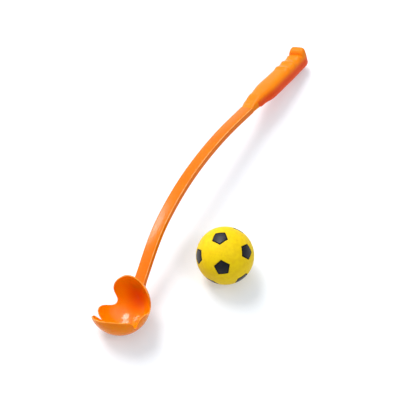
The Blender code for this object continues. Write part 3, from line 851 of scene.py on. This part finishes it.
# The boss is a short piece of the arm's bar, flared and pressed against the ball.
boss = bmesh.new()
long_edges = add_bar(boss, -BOSS_REACH, 0, ARM_WIDTH, ARM_THICK_AT_HANDLE)
round_edges(boss, long_edges, ARM_CORNER, ARM_CORNER_STEPS)
cut_across(boss, [-BOSS_REACH * k / BOSS_CUTS for k in range(1, BOSS_CUTS)])
# The boss's corners get the same pale paint as the arm's: wear and painted highlight.
mark_wear_and_highlight(boss, on_corners(boss))
for vert in boss.verts:
    flare = 1 + (BOSS_FLARE - 1) * (vert.co.x / BOSS_REACH) ** 2
    vert.co = Vector((vert.co.x, vert.co.y * flare, vert.co.z * flare))
lay_arm(boss)
for vert in boss.verts:
    vert.co = vert.co.normalized() * max(vert.co.length, CUP_RADIUS - CUP_WALL / 4)
for face in boss.faces:
    face.material_index = 1
boss_data = bpy.data.meshes.new("boss")
boss.to_mesh(boss_data)
boss.free()
cup.from_mesh(boss_data)
cup.transform(THROWER)
make_piece("cup_moulding", cup, [cup_orange, arm_orange], "thrower", ["cup"])

# %% [markdown]
# ## The handle
# Two shells meet at a parting plane: a crowned top with three grip ribs and a thumb stop,
# and a deeper base that starts with a step under the arm. Both are halves of one body, so
# that body is made once: a circle is extruded along the handle in many stations, and each
# station's ring is then drawn out to the section that the handle has there. A plane cuts it
# in two, and a hair of air is left at the cut: the fine parting line of real shells.

# %% The handle's shape along its length
HANDLE_HALF_WIDTH = 0.0125
HANDLE_TOP_RISE = 0.0098
HANDLE_DEPTH = 0.0082
HANDLE_WALL = 0.0020
HANDLE_EDGE_ROUND = 0.0017
BASE_EDGE_RUN = 0.0095
HALF_WIDTH_SHARES = [
    (0.00, 0.66),
    (0.18, 0.82),
    (0.36, 1.00),
    (0.63, 0.95),
    (0.94, 0.84),
    (1.00, 0.80),
]
TOP_RISE_SHARES = [
    (0.00, 0.34),
    (0.07, 0.62),
    (0.18, 0.88),
    (0.36, 1.00),
    (0.63, 1.00),
    (1.00, 1.04),
]
DEPTH_SHARES = [
    (0.00, 0.43),
    (0.11, 0.45),
    (0.14, 0.66),
    (0.36, 1.00),
    (0.63, 1.00),
    (1.00, 0.97),
]
ARM_SECTION_POWER = 5.0
HANDLE_POWER = 3.4
POWER_BLEND_SHARE = 0.20
GRIP_RIBS = 3
GRIP_PITCH = 0.0118
GRIP_RIB_LENGTH = 0.0098
GRIP_RIB_RISE = 0.0016
GRIP_RIB_PEAK = 1.35
STOP_LENGTH = 0.0170
STOP_RISE = 0.0062
STOP_POWER = 6.0
HANDLE_RING = 120
COARSE_PITCH = 0.0012
FINE_PITCH = 0.0004
BUTT_STEPS = 8
PARTING_GAP = 0.00016


def grip_rise(distance):
    """How far the peaked ribs and the round thumb stop stand up at a distance."""
    away = (HANDLE_LENGTH - distance) / (STOP_LENGTH / 2)
    rise = STOP_RISE * math.sqrt(1 - away * away) if away < 1 else 0.0
    first = HANDLE_LENGTH - STOP_LENGTH / 2 - GRIP_RIB_LENGTH / 2
    for k in range(GRIP_RIBS):
        away = abs(distance - first + GRIP_PITCH * k) / (GRIP_RIB_LENGTH / 2)
        if away < 1:
            rise = max(rise, GRIP_RIB_RISE * (1 - away) ** GRIP_RIB_PEAK)
    return rise


def section_powers(distance):
    """How square the section is above and below: like the arm's at first, then rounder.

    Only the thumb stop, on top, is square again.
    """
    blend = min(1.0, distance / HANDLE_LENGTH / POWER_BLEND_SHARE)
    power = ARM_SECTION_POWER + (HANDLE_POWER - ARM_SECTION_POWER) * blend
    stop = max(0.0, 1 - (HANDLE_LENGTH - distance) / STOP_LENGTH)
    return power + (STOP_POWER - power) * stop * stop * (3 - 2 * stop), power


def handle_sizes(distance):
    """(half width, height) of the top shell and of the base at a distance behind the seam."""
    share = distance / HANDLE_LENGTH
    half_width = HANDLE_HALF_WIDTH * between(HALF_WIDTH_SHARES, share)
    top = HANDLE_TOP_RISE * between(TOP_RISE_SHARES, share)
    depth = HANDLE_DEPTH * between(DEPTH_SHARES, share)
    sizes = []
    for height, run in ((top + grip_rise(distance), HANDLE_EDGE_ROUND), (depth, BASE_EDGE_RUN)):
        to_end = max(0.0, 1 - (HANDLE_LENGTH - distance) / run)
        tuck = HANDLE_EDGE_ROUND * (1 - math.sqrt(max(0.0, 1 - to_end * to_end)))
        sizes.append((half_width - tuck, height - tuck))
    return sizes


def handle_stations():
    """Places along the handle: close together at the ribs and round the butt's edge."""
    ribs = HANDLE_LENGTH - STOP_LENGTH / 2 - GRIP_PITCH * GRIP_RIBS - GRIP_RIB_LENGTH / 2
    turn = HANDLE_LENGTH - HANDLE_EDGE_ROUND
    places = [ribs * k / int(ribs / COARSE_PITCH) for k in range(int(ribs / COARSE_PITCH))]
    fine = int((turn - ribs) / FINE_PITCH)
    places += [ribs + (turn - ribs) * k / fine for k in range(fine)]
    for k in range(BUTT_STEPS + 1):
        places.append(turn + HANDLE_EDGE_ROUND * math.sin(math.pi / 2 * k / BUTT_STEPS))
    return places


def handle_body():
    """The whole handle in its own frame, as a closed body."""
    body = bmesh.new()
    turn = Matrix.Rotation(math.pi / 2, 4, "Y")
    circle = bmesh.ops.create_circle(body, segments=HANDLE_RING, radius=1, matrix=turn)["verts"]
    stations = handle_stations()
    edges = body.edges[:]
    rings = [circle]
    for _ in stations[1:]:
        ring, edges = next_ring(body, edges)
        rings.append(ring)
    for distance, ring in zip(stations, rings):
        sizes = handle_sizes(distance)
        powers = section_powers(distance)
        for vert in ring:
            shell = 0 if vert.co.z > 0 else 1
            half_width, height = sizes[shell]
            share = 2 / powers[shell]
            y = half_width * math.copysign(abs(vert.co.y) ** share, vert.co.y)
            z = height * math.copysign(abs(vert.co.z) ** share, vert.co.z)
            vert.co = Vector((distance, y, z))
    bmesh.ops.holes_fill(body, edges=boundary_edges(body), sides=0)
    return body


# %% Make the top shell of the handle
def handle_half(side):
    """One shell: side is 1 for the top and -1 for the base."""
    half = handle_body()
    cut = bmesh.ops.bisect_plane(
        half,
        geom=everything(half),
        plane_co=(0, 0, side * PARTING_GAP / 2),
        plane_no=(0, 0, -side),
        clear_outer=True,
    )
    line = [item for item in cut["geom_cut"] if isinstance(item, bmesh.types.BMEdge)]
    bmesh.ops.holes_fill(half, edges=line, sides=0)
    half.transform(HANDLE)
    return half


make_piece(
    "handle_top_shell",
    handle_half(1),
    [handle_orange],
    "thrower",
    ["handle_top"],
)

# %% [markdown]
# ## The base and its screws
# Three pan-head screws hold the base to the top shell, driven from below, with their heads
# sunk in counterbores. The holes lie across the base's curved wall, so here a Boolean is
# the plain way: nothing has to be rounded afterwards. Each screw is a profile spun about its
# axis, and the same carving cuts the cross into its head. The cross has to be one closed
# bar of plus section: two bars that run through each other would leave nothing of the screw.

# %% Make the base and the screws
SCREWS = {"front": 0.215, "middle": 0.520, "rear": 0.840}
SCREW_RADIUS = 0.0014
SCREW_LENGTH = 0.0100
SCREW_HEAD_RADIUS = 0.0027
SCREW_HEAD_THICK = 0.0016
SCREW_ROOM = 0.00005
SCREW_STEPS = 64
HEAD_FLAT_SHARE = 0.72
HEAD_SIDE_SHARE = 0.55
HEAD_STEPS = 8
WELD = 1e-7
CROSS_SIZE = (0.0030, 0.0007, 0.0011)
HEAD_SEAT = HANDLE_DEPTH - HANDLE_WALL - SCREW_HEAD_THICK
HEAD_BASE = HEAD_SEAT + SCREW_HEAD_THICK


def carved(blank, cutter):
    """What a Boolean modifier leaves of a blank when the cutter is taken out of it."""
    things = []
    for mesh in (blank, cutter):
        bmesh.ops.recalc_face_normals(mesh, faces=mesh.faces)
        data = bpy.data.meshes.new("carving")
        mesh.to_mesh(data)
        mesh.free()
        things.append(bpy.data.objects.new("carving", data))
        bpy.context.scene.collection.objects.link(things[-1])
    boolean = things[0].modifiers.new("carve", "BOOLEAN")
    boolean.operation = "DIFFERENCE"
    boolean.solver = "EXACT"
    boolean.object = things[1]
    finished = things[0].evaluated_get(bpy.context.evaluated_depsgraph_get())
    result = bmesh.new()
    result.from_mesh(finished.to_mesh())
    finished.to_mesh_clear()
    for thing in things:
        data = thing.data
        bpy.data.objects.remove(thing)
        bpy.data.meshes.remove(data)
    return result


def add_rod(mesh, place, radius, low, high):
    """A cylinder along the z axis of a place, from one height to another."""
    middle = place @ Matrix.Translation((0, 0, (low + high) / 2))
    bmesh.ops.create_cone(
        mesh,
        cap_ends=True,
        segments=SCREW_STEPS,
        radius1=radius,
        radius2=radius,
        depth=high - low,
        matrix=middle,
    )


def screw_blank():
    """A pan-head screw without its cross: its head below, its tip above."""
    profile = [(0.0, -HEAD_BASE)]
    for k in range(HEAD_STEPS + 1):
        angle = math.pi / 2 * k / HEAD_STEPS
        wide = HEAD_FLAT_SHARE + (1 - HEAD_FLAT_SHARE) * math.sin(angle)
        high = HEAD_SIDE_SHARE + (1 - HEAD_SIDE_SHARE) * math.cos(angle)
        profile.append((SCREW_HEAD_RADIUS * wide, -HEAD_SEAT - SCREW_HEAD_THICK * high))
    tip = SCREW_LENGTH - HEAD_SEAT
    profile += [
        (SCREW_HEAD_RADIUS, -HEAD_SEAT),
        (SCREW_RADIUS, -HEAD_SEAT),
        (SCREW_RADIUS, tip - SCREW_RADIUS),
        (0.0, tip),
    ]
    screw = bmesh.new()
    ends = [screw.verts.new((radius, 0, height)) for radius, height in profile]
    line = [screw.edges.new(pair) for pair in zip(ends, ends[1:])]
    bmesh.ops.spin(
        screw,
        geom=ends + line,
        cent=(0, 0, 0),
        axis=(0, 0, 1),
        angle=2 * math.pi,
        steps=SCREW_STEPS,
        use_merge=True,
    )
    bmesh.ops.remove_doubles(screw, verts=screw.verts, dist=WELD)
    return screw


def cross_cutter():
    """A bar of plus section where the driver goes into a screw's head."""
    reach, half, deep = (side / 2 for side in CROSS_SIZE)
    cross = bmesh.new()
    ring = []
    for quarter in range(4):
        turn = Matrix.Rotation(math.pi / 2 * quarter, 3, "Z")
        for x, y in ((reach, -half), (reach, half), (half, half)):
            ring.append(cross.verts.new(turn @ Vector((x, y, -HEAD_BASE - deep))))
    raised = bmesh.ops.extrude_face_region(cross, geom=[cross.faces.new(ring)])
    bmesh.ops.translate(cross, verts=new_verts(raised), vec=(0, 0, 2 * deep))
    return cross


holes = bmesh.new()
for share in SCREWS.values():
    place = HANDLE @ Matrix.Translation((share * HANDLE_LENGTH, 0, 0))
    add_rod(holes, place, SCREW_HEAD_RADIUS + SCREW_ROOM, -2 * HANDLE_DEPTH, -HEAD_SEAT)
make_piece(
    "handle_base",
    carved(handle_half(-1), holes),
    [handle_orange],
    "thrower",
    ["handle_bottom"],
)

for name, share in SCREWS.items():
    screw = carved(screw_blank(), cross_cutter())
    screw.transform(HANDLE @ Matrix.Translation((share * HANDLE_LENGTH, 0, 0)))
    make_piece(
        f"screw_{name}",
        screw,
        [zinc],
        "thrower",
        [f"handle_screw_{name}"],
    )

# %% [markdown]
# ## The ball
# A football's patches lie where an icosahedron has its corners. Cutting the corners off an
# icosahedron leaves a pentagon at each, so the ball starts as twelve vertices, a triangle
# for every three neighbours, and a bevel of the corners. Each pentagon is inset for its rim,
# everything is subdivided, and all vertices are pushed out onto the ball. The yellow body
# then gets a recess at each pentagon, and each black patch is a thin copy of it that sits in
# that recess. The triangles are made in a fixed order, so that every run gives the same ball.

# %% The ball's faceted start
BALL_TURN = Euler((math.radians(-146.3), math.radians(15.4), math.radians(84.9)))
PENTAGON_SHARE = 28.75
PENTAGON_BORDER = 0.0011
NEIGHBOUR_DOT = 0.4
BALL_CUTS = 11
RECESS_DEPTH = 0.0011
RECESS_ROUND = 0.00035
RECESS_ANGLE = math.radians(50)
PATCH_MARGIN = 0.030
PATCH_DROP = 0.0004
PATCH_THICK = 0.0009
PATCH_EDGE = 0.0008


def patch_directions():
    """The twelve directions of an icosahedron's corners, turned as the ball lies."""
    golden = (1 + math.sqrt(5)) / 2
    corners = []
    for a in (-1, 1):
        for b in (-golden, golden):
            corners += [Vector((0, a, b)), Vector((a, b, 0)), Vector((b, 0, a))]
    turn = BALL_TURN.to_matrix()
    return [turn @ corner.normalized() for corner in corners]


def patterned_ball():
    """A fine ball of radius 1: face material 0 is yellow, 1 a patch and 2 its border."""
    mesh = bmesh.new()
    corners = [mesh.verts.new(direction) for direction in patch_directions()]
    for trio in combinations(corners, 3):
        if all(a.co.dot(b.co) > NEIGHBOUR_DOT for a, b in combinations(trio, 2)):
            mesh.faces.new(trio)
    bmesh.ops.recalc_face_normals(mesh, faces=mesh.faces)
    bmesh.ops.bevel(
        mesh,
        geom=mesh.verts[:],
        offset=PENTAGON_SHARE,
        offset_type="PERCENT",
        segments=1,
        profile=0.5,
        affect="VERTICES",
        material=-1,
        clamp_overlap=False,
    )
    bmesh.ops.recalc_face_normals(mesh, faces=mesh.faces)
    pentagons = [face for face in mesh.faces if len(face.verts) == 5]
    for face in pentagons:
        face.material_index = 1
    border = PENTAGON_BORDER / BALL_RADIUS
    made = bmesh.ops.inset_individual(
        mesh,
        faces=pentagons,
        thickness=border,
        use_even_offset=True,
    )
    for face in made["faces"]:
        face.material_index = 2
    bmesh.ops.poke(mesh, faces=[face for face in mesh.faces if len(face.verts) > 4])
    bmesh.ops.subdivide_edges(mesh, edges=mesh.edges[:], cuts=BALL_CUTS, use_grid_fill=True)
    for vert in mesh.verts:
        vert.co.normalize()
    return mesh


plain_ball = patterned_ball()
counts = [sum(face.material_index == k for face in plain_ball.faces) for k in range(3)]
print("faces of the ball: yellow, patch and border", counts)

# %% Make the yellow body of the ball
BALL = Matrix.Translation(ball_centre) @ Matrix.Scale(BALL_RADIUS, 4)

body = plain_ball.copy()
recessed = [face for face in body.faces if face.material_index]
pushed = bmesh.ops.extrude_face_region(body, geom=recessed)
bmesh.ops.delete(body, geom=[face for face in recessed if face.is_valid], context="FACES_ONLY")
for vert in new_verts(pushed):
    vert.co *= 1 - RECESS_DEPTH / BALL_RADIUS
for face in body.faces:
    face.material_index = 0
bmesh.ops.recalc_face_normals(body, faces=body.faces)
rims = [edge for edge in body.edges
        if edge.calc_face_angle(0) > RECESS_ANGLE
        and all(vert.co.length > 0.99 for vert in edge.verts)]
round_edges(body, rims, RECESS_ROUND / BALL_RADIUS, 2, clamp=True)
body.transform(BALL)
make_piece("ball_body", body, [yellow_rubber], "ball", ["ball"], sharp=60)


# %% Make the twelve black patches
def patch_edge_distance(direction, axis, sides):
    """How far a point lies inside the nearest side of its pentagon, in metres."""
    return min(math.asin(direction.dot(side)) for side in sides) * BALL_RADIUS


def make_patch(name, node, axis, neighbour):
    """One black patch, slightly smaller than its recess, with its edges rolled down."""
    patch = plain_ball.copy()
    others = [face for face in patch.faces
              if not face.material_index or face.calc_center_median().dot(axis) < 0.9]
    bmesh.ops.delete(patch, geom=others, context="FACES")
    for face in patch.faces:
        face.material_index -= 1
    towards = (neighbour - axis * neighbour.dot(axis)).normalized()
    across = axis.cross(towards)
    sides = []
    for k in range(5):
        angle = 2 * math.pi * (k + 0.5) / 5
        outward = towards * math.cos(angle) + across * math.sin(angle)
        reach = max(vert.co.dot(outward) / vert.co.dot(axis) for vert in patch.verts)
        sides.append((axis * reach - outward).normalized())
    for vert in patch.verts:
        away = max(0.0, patch_edge_distance(vert.co, axis, sides))
        lie = max(0.0, 1 - away / PATCH_EDGE)
        drop = PATCH_DROP * (1 - math.sqrt(max(0.0, 1 - lie * lie)))
        vert.co = vert.co.lerp(axis, PATCH_MARGIN).normalized() * (1 - drop / BALL_RADIUS)
    pushed = bmesh.ops.extrude_face_region(patch, geom=patch.faces[:], use_keep_orig=True)
    for vert in new_verts(pushed):
        vert.co = vert.co.normalized() * (1 - PATCH_THICK / BALL_RADIUS)
    patch.transform(BALL)
    make_piece(name, patch, [black_rubber, black_rim_shade], "ball", [node])


directions = patch_directions()
for node in sorted(name for name in frame["nodes"] if "pentagon" in name):
    low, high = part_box(node)
    towards = ((low + high) / 2 - ball_centre).normalized()
    axis = max(directions, key=towards.dot)
    neighbour = max((d for d in directions if d != axis), key=axis.dot)
    make_patch(node.replace("pentagon", "patch"), node, axis, neighbour)
plain_ball.free()
